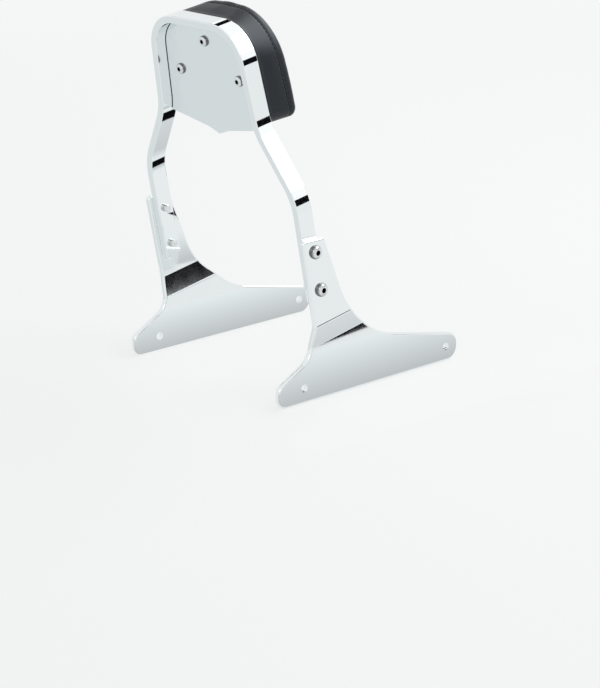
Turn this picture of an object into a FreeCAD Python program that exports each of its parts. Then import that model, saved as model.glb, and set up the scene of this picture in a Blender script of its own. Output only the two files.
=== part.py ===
import FreeCAD, Part
import math
import os
from FreeCAD import Placement, Rotation, Vector

# A passenger backrest for a motorcycle: a chromed flat-bar hoop with a panel set into its top and an
# upholstered pad on the front, carried by two joggled side plates that bolt to the sides of the rear
# frame. Millimetres. X points to the rider's right, Y forward and Z up. The origin lies on the axis of
# the rear mounting bolts, midway between the side plates.

# Stance of the hoop, from the rear mounting bolt to the lower hoop bolt
lean_deg = 10.8
lower_bolt_forward = 17.6
lower_bolt_height = 100.5

# Flat bar of the hoop
bar_thickness = 8.0
bar_depth = 19.0
bar_edge_radius = 1.0

# Hoop outline: half widths over the outside, heights up the lean from the lower hoop bolt
leg_half_width = 118.3
neck_half_width = 77.3
shoulder_half_width = 68.0
leg_tail = 12.5
lower_bend_height = 96.3
upper_bend_height = 161.7
hoop_height = 265.0
bend_inside_radius = 55.0
shoulder_radius = 41.0

# Panel set inside the top of the hoop, flush with the front of the bar
panel_thickness = 6.35
panel_corner_height = 158.0
panel_drop_half_width = 15.0
panel_drop_height = 147.5
panel_drop_radius = 10.0
panel_tip_height = 142.0
panel_tip_radius = 1.5

# Pad: how its front outline departs from the hoop, and its upholstery
pad_margin = 0.4
pad_bottom_height = 161.0
pad_bottom_sag = 3.0
pad_bottom_radius = 11.0
pad_side_bulge = 2.6
pad_shoulder_tuck = 3.4
pad_shoulder_drop = 3.0
pad_shoulder_radius = 64.0
pad_crown_rise = 6.0
pad_crown_radius = 90.0
pad_back_crown = 0.6
pad_depth = 42.0
pad_fullest_height = 195.0
pad_face_radius = 500.0
pad_rim_radius = 7.0
seam_depth = 26.0
vinyl_thickness = 1.2
vinyl_lip = 12.0
board_thickness = 9.0

# Pad screws, placed down from the top of the hoop, and the tee nuts that take them
pad_screw_radius = 3.175
pad_screw_head_radius = 5.55
pad_screw_head_height = 3.3
pad_screw_socket = 3.97
pad_screw_socket_depth = 2.0
pad_screw_hole_clearance = 0.3
top_screw_drop = 25.6
side_screw_drop = 60.6
side_screw_half_spacing = 44.8
tee_flange_radius = 9.5
tee_flange_thickness = 1.6
tee_barrel_wall = 0.9

# Staples that hold the turned-in edge of the vinyl to the board
staple_count = 26
staple_crown = 10.0
staple_wire = 0.9
staple_leg = 6.5

# Bolts that clamp the side plates to the hoop
hoop_bolt_radius = 3.97
hoop_bolt_head_radius = 6.95
hoop_bolt_head_height = 4.2
hoop_bolt_socket = 4.76
hoop_bolt_socket_depth = 2.6
hoop_bolt_protrusion = 4.5
hoop_bolt_hole_clearance = 0.25
hoop_bolt_spacing = 40.5

# Shape shared by all the button-head screws
thread_clearance = 0.05
tip_chamfer = 0.9
head_rim = 0.7
head_flat_share = 0.75
dome_side_share = 0.6
dome_height_share = 0.82

# Side plate: thickness, joggle and blade, with heights up the lean from the lower hoop bolt
plate_thickness = 6.35
plate_edge_radius = 2.4
plate_bend_radius = 4.0
joggle = 5.5
joggle_top = -36.5
joggle_bottom = -58.5
blade_top_margin = 13.0
blade_corner_radius = 4.0
blade_rear_overhang = 4.8
blade_front_overhang = 7.0
knee_height = -31.0
knee_overhang = 21.0
knee_radius = 90.0

# Side plate flange, measured from the rear mounting bolt
mount_bolt_spacing = 200.0
mount_hole_radius = 4.4
flange_drop = 16.0
flange_tail = 34.0
flange_tail_height = 6.0
flange_tail_radius = 8.0
flange_heel_radius = 11.0
web_rear_forward = 8.5
web_rear_height = 30.0
web_rear_radius = 20.0
web_front_forward = 103.5
web_front_height = 35.5
web_front_radius = 80.0
flange_nose = 17.0
flange_nose_height = 12.0
flange_nose_radius = 14.0
flange_toe_radius = 14.0

# Working sizes that follow from the ones above
lean = math.radians(lean_deg)
bar_middle = bar_depth / 2
blade_inner = leg_half_width
blade_outer = leg_half_width + plate_thickness
flange_outer = blade_outer - joggle
board_back = bar_depth + vinyl_thickness
board_front = board_back + board_thickness
reach = 4 * hoop_height
hair = 1e-6
edge_on = 1e-3
broad_side = 0.5
hoop_bolt_heights = {"lower": 0.0, "upper": hoop_bolt_spacing}
pad_screw_places = {
    "top": (0.0, hoop_height - top_screw_drop),
    "left": (-side_screw_half_spacing, hoop_height - side_screw_drop),
    "right": (side_screw_half_spacing, hoop_height - side_screw_drop),
}


def unit(da, db):
    """Direction of a step in a plane."""
    length = math.hypot(da, db)
    return da / length, db / length


def outline_wire(vertices, place):
    """Closed wire through (a, b, radius) vertices, each corner rounded by its own radius."""
    corners = []
    for i, (a, b, radius) in enumerate(vertices):
        before = vertices[i - 1]
        after = vertices[(i + 1) % len(vertices)]
        back = unit(before[0] - a, before[1] - b)
        ahead = unit(after[0] - a, after[1] - b)
        half_angle = math.acos(back[0] * ahead[0] + back[1] * ahead[1]) / 2
        run = radius / math.tan(half_angle)
        rise = radius / math.sin(half_angle) - radius
        inward = unit(back[0] + ahead[0], back[1] + ahead[1])
        start = place(a + back[0] * run, b + back[1] * run)
        middle = place(a + inward[0] * rise, b + inward[1] * rise)
        end = place(a + ahead[0] * run, b + ahead[1] * run)
        corners.append((radius, start, middle, end))
    edges = []
    for i, (radius, start, middle, end) in enumerate(corners):
        if radius > 0:
            edges.append(Part.Arc(start, middle, end).toShape())
        edges.append(Part.makeLine(end, corners[(i + 1) % len(corners)][1]))
    return Part.Wire(edges)


def inset(vertices, distance):
    """Counter-clockwise outline moved inwards, its corners kept concentric until they are square."""
    moved = []
    for i, (a, b, radius) in enumerate(vertices):
        before = vertices[i - 1]
        after = vertices[(i + 1) % len(vertices)]
        arriving = unit(a - before[0], b - before[1])
        leaving = unit(after[0] - a, after[1] - b)
        turn = arriving[0] * leaving[1] - arriving[1] * leaving[0]
        share = distance / (1 + arriving[0] * leaving[0] + arriving[1] * leaving[1])
        new_radius = max(radius - math.copysign(distance, turn), 0) if radius > 0 else 0
        moved.append((
            a - (arriving[1] + leaving[1]) * share,
            b + (arriving[0] + leaving[0]) * share,
            new_radius,
        ))
    return moved


def upright_prism(vertices, depth_start, depth_end):
    """Solid of a front-view outline, standing upright between two depths."""
    wire = outline_wire(vertices, lambda across, up: Vector(across, depth_start, up))
    return Part.Face(wire).extrude(Vector(0, depth_end - depth_start, 0))


def slab(depth_start, depth_end):
    """Upright block wider and taller than the backrest, between two depths."""
    corner = Vector(-reach, depth_start, -reach)
    return Part.makeBox(2 * reach, depth_end - depth_start, 2 * reach, corner)


def one_solid(shape):
    """The single solid that a cut or an intersection leaves."""
    solid, = shape.Solids
    return solid


def leaned(shape):
    """Upright shape tilted back and set on the lower hoop bolt."""
    tilt = Rotation(Vector(1, 0, 0), lean_deg)
    pivot = Vector(0, lower_bolt_forward, lower_bolt_height)
    to_bolt = Placement(Vector(0, -bar_middle, 0), Rotation())
    result = shape.copy()
    result.Placement = Placement(pivot, tilt).multiply(to_bolt).multiply(shape.Placement)
    return result


def side_view(depth, up):
    """Forward and upward place of a point of the leaned hoop."""
    forward = lower_bolt_forward - up * math.sin(lean) + (depth - bar_middle) * math.cos(lean)
    height = lower_bolt_height + up * math.cos(lean) + (depth - bar_middle) * math.sin(lean)
    return forward, height


def cross_hole(radius, depth, up):
    """Cylinder right across the backrest, for the bolts of both sides."""
    return Part.makeCylinder(radius, 2 * reach, Vector(-reach, depth, up), Vector(1, 0, 0))


def button_bolt(radius, length, head_radius, head_height, socket, socket_depth):
    """Button-head screw along +Z from the seat of its head, with a hexagon socket and a bevelled tip."""
    dome_flat = socket * head_flat_share
    dome_reach = dome_flat + dome_side_share * (head_radius - dome_flat)
    dome_side = Vector(dome_reach, 0, -dome_height_share * head_height)
    edges = [
        Part.makeLine(Vector(0, 0, -head_height), Vector(dome_flat, 0, -head_height)),
        Part.Arc(Vector(dome_flat, 0, -head_height), dome_side, Vector(head_radius, 0, -head_rim)).toShape(),
    ]
    corners = [
        Vector(head_radius, 0, -head_rim),
        Vector(head_radius, 0, 0),
        Vector(radius, 0, 0),
        Vector(radius, 0, length - tip_chamfer),
        Vector(radius - tip_chamfer, 0, length),
        Vector(0, 0, length),
        Vector(0, 0, -head_height),
    ]
    edges += [Part.makeLine(start, end) for start, end in zip(corners, corners[1:])]
    body = Part.Face(Part.Wire(edges)).revolve(Vector(0, 0, 0), Vector(0, 0, 1), 360)
    first_corner = Vector(socket / math.sqrt(3), 0, -head_height)
    hexagon = [Rotation(Vector(0, 0, 1), step * 60).multVec(first_corner) for step in range(7)]
    recess = Part.Face(Part.makePolygon(hexagon)).extrude(Vector(0, 0, socket_depth))
    return one_solid(body.cut(recess))


def placed(shape, position, direction):
    """Shape made along +Z, moved to a position and turned to a direction."""
    result = shape.copy()
    result.Placement = Placement(position, Rotation(Vector(0, 0, 1), direction))
    return result


def hoop_outline():
    """Outside of the hoop as a closed outline, legs joined across the bottom."""
    outer_bend = bend_inside_radius + bar_thickness
    return [
        (-leg_half_width, -leg_tail, 0),
        (leg_half_width, -leg_tail, 0),
        (leg_half_width, lower_bend_height, outer_bend),
        (neck_half_width, upper_bend_height, bend_inside_radius),
        (shoulder_half_width, hoop_height, shoulder_radius),
        (-shoulder_half_width, hoop_height, shoulder_radius),
        (-neck_half_width, upper_bend_height, bend_inside_radius),
        (-leg_half_width, lower_bend_height, outer_bend),
    ]


def hoop_inside():
    """Inside of the hoop, run out below the ends of its legs."""
    inside = inset(hoop_outline(), bar_thickness)
    inside[0] = (inside[0][0], -leg_tail - bar_thickness, 0)
    inside[1] = (inside[1][0], -leg_tail - bar_thickness, 0)
    return inside


def build_hoop():
    """Flat bar bent to shape, with eased edges and a pair of tapped holes in each leg."""
    bar = upright_prism(hoop_outline(), 0, bar_depth)
    bar = bar.cut(upright_prism(hoop_inside(), -bar_depth, 2 * bar_depth))
    long_edges = []
    for edge in bar.Edges:
        box = edge.BoundBox
        lies_on_a_face = box.YLength < hair
        is_bar_end = box.ZMax < -leg_tail + hair
        if lies_on_a_face and not is_bar_end:
            long_edges.append(edge)
    bar = bar.makeFillet(bar_edge_radius, long_edges)
    for height in hoop_bolt_heights.values():
        bar = bar.cut(cross_hole(hoop_bolt_radius + thread_clearance, bar_middle, height))
    return bar


def build_panel():
    """Plate that fills the top of the hoop, its lower edge drawn down to a small point."""
    slope = (panel_corner_height - panel_drop_height) / (neck_half_width - panel_drop_half_width)
    edge_height = panel_corner_height + slope * (leg_half_width - neck_half_width)
    blank = [
        (-leg_half_width, edge_height, 0),
        (-panel_drop_half_width, panel_drop_height, panel_drop_radius),
        (0, panel_tip_height, panel_tip_radius),
        (panel_drop_half_width, panel_drop_height, panel_drop_radius),
        (leg_half_width, edge_height, 0),
        (leg_half_width, hoop_height, 0),
        (-leg_half_width, hoop_height, 0),
    ]
    back = bar_depth - panel_thickness
    filling = upright_prism(hoop_inside(), back, bar_depth)
    panel = filling.common(upright_prism(blank, back, bar_depth))
    for across, up in pad_screw_places.values():
        radius = pad_screw_radius + pad_screw_hole_clearance
        panel = panel.cut(Part.makeCylinder(radius, bar_depth, Vector(across, 0, up), Vector(0, 1, 0)))
    return panel


def pad_outlines():
    """Outline of the pad where it meets the bar, and the fuller one of its front."""
    hoop_edge = shoulder_half_width - pad_margin
    hoop_top = hoop_height - pad_margin
    back = [
        (-neck_half_width + pad_margin, pad_bottom_height, pad_bottom_radius),
        (neck_half_width - pad_margin, pad_bottom_height, pad_bottom_radius),
        (hoop_edge, hoop_top - pad_back_crown, shoulder_radius),
        (0, hoop_top, pad_crown_radius),
        (-hoop_edge, hoop_top - pad_back_crown, shoulder_radius),
    ]
    front_side = neck_half_width + pad_side_bulge
    front_edge = shoulder_half_width - pad_shoulder_tuck
    front_bottom = pad_bottom_height - pad_bottom_sag
    front = [
        (-front_side, front_bottom, pad_bottom_radius),
        (front_side, front_bottom, pad_bottom_radius),
        (front_edge, hoop_height - pad_shoulder_drop, pad_shoulder_radius),
        (0, hoop_height + pad_crown_rise, pad_crown_radius),
        (-front_edge, hoop_height - pad_shoulder_drop, pad_shoulder_radius),
    ]
    return back, front


def pad_body(skin):
    """Cushion form at a depth below its outer skin: drafted sides, domed front and a rolled rim."""
    back, front = pad_outlines()
    front_depth = bar_depth + pad_depth
    sections = [
        outline_wire(inset(back, skin), lambda across, up: Vector(across, bar_depth, up)),
        outline_wire(inset(front, skin), lambda across, up: Vector(across, front_depth, up)),
    ]
    sides = Part.makeLoft(sections, True, True)
    dome_centre = Vector(0, front_depth - pad_face_radius, pad_fullest_height)
    dome = Part.makeSphere(pad_face_radius - skin, dome_centre)
    body = sides.common(dome)
    face = max(body.Faces, key=lambda candidate: candidate.CenterOfMass.y)
    body = body.makeFillet(pad_rim_radius - skin, face.Edges)
    return body.common(slab(bar_depth + skin, 2 * front_depth))


def build_pad():
    """Sewn vinyl cover in two pieces, foam filling and base board."""
    outside = pad_body(0)
    inside = pad_body(vinyl_thickness)
    back, _ = pad_outlines()
    window = upright_prism(inset(back, vinyl_lip), 0, board_back)
    cover = outside.cut(inside).cut(window)
    seam = bar_depth + seam_depth
    front = 2 * (bar_depth + pad_depth)
    board = inside.common(slab(board_back, board_front))
    for across, up in pad_screw_places.values():
        at_back = Vector(across, board_back, up)
        barrel = Part.makeCylinder(tee_barrel_radius(), board_thickness, at_back, Vector(0, 1, 0))
        at_flange = Vector(across, board_front - tee_flange_thickness, up)
        seat = Part.makeCylinder(tee_flange_radius, tee_flange_thickness, at_flange, Vector(0, 1, 0))
        board = board.cut(barrel.fuse(seat))
    staples = build_staples()
    return {
        "pad_side_band": one_solid(cover.common(slab(0, seam)).cut(staples)),
        "pad_face_cover": one_solid(cover.common(slab(seam, front))),
        "pad_foam": one_solid(inside.common(slab(board_front, front))),
        "pad_base_board": one_solid(board.cut(staples)),
        "pad_staples": staples,
    }


def build_staples():
    """Ring of staples, evenly spaced along the middle of the turned-in vinyl, crowns flush with its back."""
    back, _ = pad_outlines()
    ring = outline_wire(inset(back, vinyl_lip / 2), lambda across, up: Vector(across, bar_depth, up))
    places = ring.discretize(Number=staple_count + 1)
    length = vinyl_thickness + staple_leg
    blank = Part.makeBox(staple_crown, length, staple_wire, Vector(-staple_crown / 2, 0, -staple_wire / 2))
    gap = staple_crown - 2 * staple_wire
    inner = Part.makeBox(gap, length, staple_wire, Vector(-gap / 2, staple_wire, -staple_wire / 2))
    staple = one_solid(blank.cut(inner))
    staples = []
    for i in range(staple_count):
        along = places[i + 1] - places[i - 1 if i else staple_count - 1]
        copy = staple.copy()
        copy.Placement = Placement(places[i], Rotation(Vector(1, 0, 0), along))
        staples.append(copy)
    return Part.makeCompound(staples)


def tee_barrel_radius():
    """Outside of a tee nut's threaded barrel."""
    return pad_screw_radius + thread_clearance + tee_barrel_wall


def build_tee_nut(across, up):
    """Flanged nut let into the front of the base board."""
    forward = Vector(0, 1, 0)
    barrel = Part.makeCylinder(tee_barrel_radius(), board_thickness, Vector(across, board_back, up), forward)
    at_flange = Vector(across, board_front - tee_flange_thickness, up)
    flange = Part.makeCylinder(tee_flange_radius, tee_flange_thickness, at_flange, forward)
    bore_radius = pad_screw_radius + thread_clearance
    thread = Part.makeCylinder(bore_radius, board_front, Vector(across, 0, up), forward)
    return one_solid(barrel.fuse(flange).cut(thread).removeSplitter())


def build_pad_screw(across, up):
    """Screw from the back of the panel into its tee nut."""
    seat = bar_depth - panel_thickness
    screw = button_bolt(
        pad_screw_radius, board_front - seat, pad_screw_head_radius,
        pad_screw_head_height, pad_screw_socket, pad_screw_socket_depth,
    )
    return placed(screw, Vector(across, seat, up), Vector(0, 1, 0))


def build_hoop_bolt(side, up):
    """Bolt from the outside of a blade, through the bar and a little beyond it."""
    bolt = button_bolt(
        hoop_bolt_radius, plate_thickness + bar_thickness + hoop_bolt_protrusion, hoop_bolt_head_radius,
        hoop_bolt_head_height, hoop_bolt_socket, hoop_bolt_socket_depth,
    )
    return placed(bolt, Vector(side * blade_outer, bar_middle, up), Vector(-side, 0, 0))


def joggled_sheet():
    """Right-hand sheet bent inwards below the blade, running far past the plate's outline."""
    slope = math.atan2(joggle, joggle_top - joggle_bottom)
    shift = plate_thickness * math.tan(slope / 2)
    outer_bend = plate_bend_radius + plate_thickness
    profile = [
        (blade_outer, reach, 0),
        (blade_inner, reach, 0),
        (blade_inner, joggle_top + shift, plate_bend_radius),
        (blade_inner - joggle, joggle_bottom + shift, outer_bend),
        (blade_inner - joggle, -reach, 0),
        (flange_outer, -reach, 0),
        (flange_outer, joggle_bottom, plate_bend_radius),
        (blade_outer, joggle_top, outer_bend),
    ]
    return leaned(upright_prism(profile, -reach, reach))


def plate_outline():
    """Side view of a plate: blade, web swept down to the flange, and the flange's two ends."""
    blade_top = side_view(bar_middle, hoop_bolt_spacing)[1] + blade_top_margin
    rear_depth = -blade_rear_overhang
    front_depth = bar_depth + blade_front_overhang
    knee = side_view(bar_depth + knee_overhang, knee_height)
    front_foot = side_view(front_depth, hoop_bolt_spacing)
    front_slope = (front_foot[0] - knee[0]) / (front_foot[1] - knee[1])
    rear_foot = side_view(rear_depth, joggle_top)
    rear_slope = -math.tan(lean)
    return [
        (-flange_tail, -flange_drop, flange_heel_radius),
        (mount_bolt_spacing + flange_nose, -flange_drop, flange_toe_radius),
        (mount_bolt_spacing + flange_nose, flange_nose_height, flange_nose_radius),
        (web_front_forward, web_front_height, web_front_radius),
        (knee[0], knee[1], knee_radius),
        (front_foot[0] + front_slope * (blade_top - front_foot[1]), blade_top, blade_corner_radius),
        (rear_foot[0] + rear_slope * (blade_top - rear_foot[1]), blade_top, blade_corner_radius),
        (rear_foot[0], rear_foot[1], web_rear_radius),
        (web_rear_forward, web_rear_height, web_rear_radius),
        (-flange_tail, flange_tail_height, flange_tail_radius),
    ]


def build_right_plate():
    """Joggled plate with rounded edges, holes for the hoop bolts and for the mounting bolts."""
    wire = outline_wire(plate_outline(), lambda forward, up: Vector(0, forward, up))
    plate = one_solid(joggled_sheet().common(Part.Face(wire).extrude(Vector(reach, 0, 0))))
    plate = plate.makeFillet(plate_edge_radius, rim_edges(plate))
    for height in hoop_bolt_heights.values():
        hole = cross_hole(hoop_bolt_radius + hoop_bolt_hole_clearance, bar_middle, height)
        plate = plate.cut(leaned(hole))
    for forward in (0, mount_bolt_spacing):
        plate = plate.cut(cross_hole(mount_hole_radius, forward, 0))
    return plate


def rim_edges(plate):
    """Edges between the broad sides of a plate and its outline."""
    edges = []
    for edge in plate.Edges:
        faces = plate.ancestorsOfType(edge, Part.Face)
        across = [abs(face.normalAt(*face.Surface.parameter(face.CenterOfMass)).x) for face in faces]
        if min(across) < edge_on and max(across) > broad_side:
            edges.append(edge)
    return edges


def mirrored(shape):
    """The same piece for the left side."""
    return shape.mirror(Vector(0, 0, 0), Vector(1, 0, 0))


def build_parts():
    """Every piece of the backrest under its own name."""
    upright = {"upright_hoop": one_solid(build_hoop()), "back_panel": one_solid(build_panel())}
    upright.update(build_pad())
    for place, (across, up) in pad_screw_places.items():
        upright["pad_tee_nut_" + place] = build_tee_nut(across, up)
        upright["pad_screw_" + place] = build_pad_screw(across, up)
    for side_name, side in (("left", -1), ("right", 1)):
        for level, height in hoop_bolt_heights.items():
            upright["hoop_bolt_" + side_name + "_" + level] = build_hoop_bolt(side, height)
    parts = {name: leaned(shape) for name, shape in upright.items()}
    parts["side_plate_right"] = one_solid(build_right_plate())
    parts["side_plate_left"] = mirrored(parts["side_plate_right"])
    return parts


os.makedirs("parts", exist_ok=True)
for part_name, part_shape in build_parts().items():
    part_shape.exportStep("parts/" + part_name + ".step")
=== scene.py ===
import math

import bpy
import numpy as np
from mathutils import Matrix, Vector


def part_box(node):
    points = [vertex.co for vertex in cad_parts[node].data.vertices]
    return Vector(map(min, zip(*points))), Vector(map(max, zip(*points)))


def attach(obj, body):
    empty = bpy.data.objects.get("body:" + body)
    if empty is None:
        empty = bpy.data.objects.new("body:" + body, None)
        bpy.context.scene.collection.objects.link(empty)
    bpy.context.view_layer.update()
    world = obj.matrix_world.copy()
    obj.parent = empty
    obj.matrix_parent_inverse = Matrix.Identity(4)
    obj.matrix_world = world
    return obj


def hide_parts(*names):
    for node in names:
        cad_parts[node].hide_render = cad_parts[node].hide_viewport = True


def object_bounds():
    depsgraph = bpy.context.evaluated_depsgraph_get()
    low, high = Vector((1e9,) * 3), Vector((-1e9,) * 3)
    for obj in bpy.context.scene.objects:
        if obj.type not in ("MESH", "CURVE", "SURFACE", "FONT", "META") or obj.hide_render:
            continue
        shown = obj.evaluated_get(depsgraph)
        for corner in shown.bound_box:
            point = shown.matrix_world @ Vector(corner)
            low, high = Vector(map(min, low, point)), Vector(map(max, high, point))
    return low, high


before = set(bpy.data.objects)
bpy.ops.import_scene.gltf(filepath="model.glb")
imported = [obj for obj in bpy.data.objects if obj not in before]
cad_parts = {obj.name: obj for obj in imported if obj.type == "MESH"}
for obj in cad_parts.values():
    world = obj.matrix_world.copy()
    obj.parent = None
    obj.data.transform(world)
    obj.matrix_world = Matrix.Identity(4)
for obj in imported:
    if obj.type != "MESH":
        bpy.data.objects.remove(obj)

bl_info = {
    "name": "Chromed Backrest",
    "version": (1, 0, 0),
    "blender": (4, 5, 0),
    "location": "View3D > Sidebar > Backrest",
    "description": "Dresses a motorcycle backrest: plated bar and plates, a sewn vinyl pad and a studio",
    "category": "Object",
}

MM = 0.001
CAD_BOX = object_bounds()

HOOP_BOLTS = [name for name in sorted(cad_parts) if name.startswith("hoop_bolt_")]
PAD_SCREWS = [name for name in sorted(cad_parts) if name.startswith("pad_screw_")]
TEE_NUTS = [name for name in sorted(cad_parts) if name.startswith("pad_tee_nut_")]
SIDE_PLATES = ["side_plate_left", "side_plate_right"]
PAD_COVER_NODES = ["pad_side_band", "pad_face_cover"]

# Rows of the pad's surface: back inside the lip, lip, roll, side, rim and face, and columns to each stitch
BACK_ROWS, LIP_ROWS, ROLL_ROWS, SIDE_ROWS, RIM_ROWS, FACE_ROWS = 8, 6, 6, 46, 22, 24
COLUMNS_PER_STITCH = 4
# Points along each corner of an outline, along and round the dark bead of painted joint shade, and along
# and round a stitch
CORNER_POINTS, JOINT_SHADE_POINTS, JOINT_SHADE_SIDES, STITCH_POINTS, STITCH_SIDES = 40, 480, 10, 9, 8

# Distance from which the cover settles onto the solid, and depth over which it is held at its back and seam
SETTLE_REACH = 6 * MM
HELD_DEPTH = 4 * MM
# Grid points over which the settled and the swollen cover are smoothed
SETTLE_SMOOTHING, SWELL_SMOOTHING = 5, 8
# Shares of the vinyl's thickness that the cover may sink, and of the groove's width that is creased,
# where the vinyl is painted black as shade
SINK_BESIDE_SEAM, SINK_IN_SEAM = 0.4, 0.8
CREASE_SHARE = 0.6
# Last step of the cloth simulation, and a length too short to count
LAST_STEP = 20
HAIR = 1e-9

# Distance between the bands of a wave texture at a scale of one, and a thread of eighteen turns to the inch
WAVE_BAND = 0.31
THREAD_PITCH_MM = 25.4 / 18

# Floor disc, and the white arch that the bar mirrors, in metres
FLOOR_RADIUS, FLOOR_RINGS, FLOOR_COLUMNS = 8.0, 12, 96
ARCH_CENTRE, ARCH_RADIUS, ARCH_HALF_WIDTH = (0.10, 0, 0.27), 2.9, 0.4
ARCH_TILT_DEGREES, ARCH_ROWS = (15, 92), 16


def linear(hex_colour):
    """Linear RGB of an sRGB colour written as six hexadecimal digits."""
    parts = [int(hex_colour[i:i + 2], 16) / 255 for i in (0, 2, 4)]
    return tuple(c / 12.92 if c <= 0.04045 else ((c + 0.055) / 1.055) ** 2.4 for c in parts)


def node_centre(name):
    """Middle of a node's box."""
    low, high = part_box(name)
    return (low + high) / 2


def length_property(name, description, millimetres):
    """A length given in millimetres, stored in metres with the scene's length unit."""
    return bpy.props.FloatProperty(
        name=name, description=description, default=millimetres * MM, unit="LENGTH", precision=5)


def angle_property(name, description, degrees):
    """An angle given in degrees, stored in radians."""
    return bpy.props.FloatProperty(
        name=name, description=description, default=math.radians(degrees), subtype="ANGLE")


def colour_property(name, description, hex_colour):
    """A colour that starts from an sRGB hexadecimal value."""
    return bpy.props.FloatVectorProperty(
        name=name, description=description, default=linear(hex_colour), size=3, subtype="COLOR",
        min=0, max=1)


class BackrestFinishes(bpy.types.PropertyGroup):
    """Colours of the finishes."""
    chrome: colour_property("Chrome", "Plated steel of the bar and the side plates", "EDF1F2")
    # Panel chrome darker and bluer than the bar's: painted shade of the darker surroundings it mirrors
    panel: colour_property("Panel", "Plated steel of the back panel", "E9EEF0")
    fastener: colour_property("Fastener", "Plated steel of the screws and bolts", "DDE0E1")
    # The dark bead along the panel's joint is painted shade for the joint's gap
    weld: colour_property("Weld", "Bare bead in the corner between the panel and the bar", "3A4043")
    zinc: colour_property("Zinc", "Zinc plate of the tee nuts and staples", "AEB2AF")
    vinyl: colour_property("Vinyl", "Black upholstery vinyl", "0F1317")
    # The thread is black; its dark grey is painted sheen
    thread: colour_property("Thread", "Sewing thread of the pad", "323538")
    foam: colour_property("Foam", "Upholstery foam", "D9C98E")
    board: colour_property("Board", "Plywood of the base board", "B48A5A")


class BackrestFasteners(bpy.types.PropertyGroup):
    """Sizes of the fasteners that their finish follows."""
    bolt_head: length_property("Bolt head", "Radius of a hoop bolt's head", 6.95)
    bolt_socket: length_property("Bolt socket", "Width across the flats of a bolt's hex socket", 4.76)
    bolt_thread: length_property("Bolt thread", "Where the thread ends, from the middle of a bolt", -5.0)
    screw_head: length_property("Screw head", "Radius of a pad screw's head", 5.55)
    screw_socket: length_property("Screw socket", "Width across the flats of a screw's hex socket", 3.97)


class BackrestJointShade(bpy.types.PropertyGroup):
    """Sizes of the dark bead of painted joint shade along the inside of the bar, across and up the lean from
    the lower hoop bolt.
    """
    neck_half_width: length_property("Neck half width", "Half width inside the upper bends", 69.5)
    neck_height: length_property("Neck height", "Height of the upper bends inside the bar", 159.07)
    bend_radius: length_property("Bend radius", "Radius of the upper bends inside the bar", 63.0)
    slope_half_width: length_property("Slope half width", "Half width inside the bar below the bends", 85.4)
    slope_height: length_property("Slope height", "Height of that place below the bends", 133.7)
    shoulder_half_width: length_property("Shoulder half width", "Half width inside the shoulders", 60.69)
    top: length_property("Top", "Height of the bar's inside at the top", 257.0)
    shoulder_radius: length_property("Shoulder radius", "Rounding inside the shoulders", 33.0)
    low_end: length_property("Low end", "Height of the bead's two ends", 158.0)
    panel_recess: length_property("Panel rear", "Panel's rear face, behind the bar's front face", 6.35)
    radius: length_property("Radius", "Half thickness of the bead", 0.6)


class BackrestPad(bpy.types.PropertyGroup):
    """Sizes of the pad, across, up the lean from the lower hoop bolt and forward of the bar."""
    back_half_width: length_property("Back half width", "Half width of the back at its bottom", 76.9)
    back_top_half_width: length_property("Back top half width", "Half width of the back's shoulders", 67.6)
    back_top: length_property("Back top", "Height of the top of its back", 264.6)
    back_crown: length_property("Back crown", "Drop from there to the shoulders of its back", 0.6)
    bottom: length_property("Bottom", "Height of the lower edge of its back", 161.0)
    shoulder_radius: length_property("Back shoulder radius", "Rounding of the back's shoulders", 41.0)
    front_half_width: length_property("Front half width", "Half width of the front at its bottom", 79.9)
    front_top_half_width: length_property("Front top half width", "Half width of the front's shoulders", 64.6)
    front_shoulder: length_property("Front shoulder", "Height of the shoulders of its front", 262.0)
    front_top: length_property("Front top", "Height of the crown of its front", 271.0)
    front_shoulder_radius: length_property("Front shoulder radius", "Rounding of the front's shoulders", 64.0)
    crown_radius: length_property("Crown radius", "Rounding of the top of the front", 90.0)
    sag: length_property("Sag", "Drop of the lower edge from back to front", 3.0)
    bottom_radius: length_property("Bottom radius", "Rounding of the lower corners", 11.0)
    depth: length_property("Depth", "Thickness of the pad at its fullest", 42.0)
    fullest: length_property("Fullest height", "Height where the front stands out most", 195.0)
    face_radius: length_property("Face radius", "Radius of the domed front", 500.0)
    rim_radius: length_property("Rim radius", "Roll of the front rim", 7.0)
    back_roll: length_property("Back roll", "Roll of the vinyl where it turns in behind the board", 2.2)
    lip: length_property("Lip", "Width of the vinyl that is turned in behind the board", 12.0)
    vinyl: length_property("Vinyl thickness", "Thickness of the cover", 1.2)
    slack: length_property("Slack", "How much smaller than the filled pad the cover is cut", 0.6)
    swell: length_property("Swell", "Furthest that the filling pushes the cover out", 2.2)
    voxel: length_property("Voxel", "Grain of the mesh that is inflated", 5.0)
    pressure: bpy.props.FloatProperty(
        name="Pressure", description="Push of the filling on the cover", default=20.0, min=0)
    seam_depth: length_property("Seam depth", "Distance of the seam forward of the bar", 26.0)
    groove_depth: length_property("Groove depth", "How far the seam is drawn in", 0.85)
    groove_width: length_property("Groove width", "Half width of the drawn-in seam", 1.3)
    pucker: length_property("Pucker", "Extra pull at each needle hole", 0.15)
    stitches: bpy.props.IntProperty(
        name="Stitches", description="Stitches round the seam", default=102, min=8)
    stitch_share: bpy.props.FloatProperty(
        name="Stitch share", description="Share of each stitch's pitch where thread shows", default=0.55,
        min=0.1, max=0.95, subtype="FACTOR")
    thread_radius: length_property("Thread radius", "Half thickness of the thread", 0.42)


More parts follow.
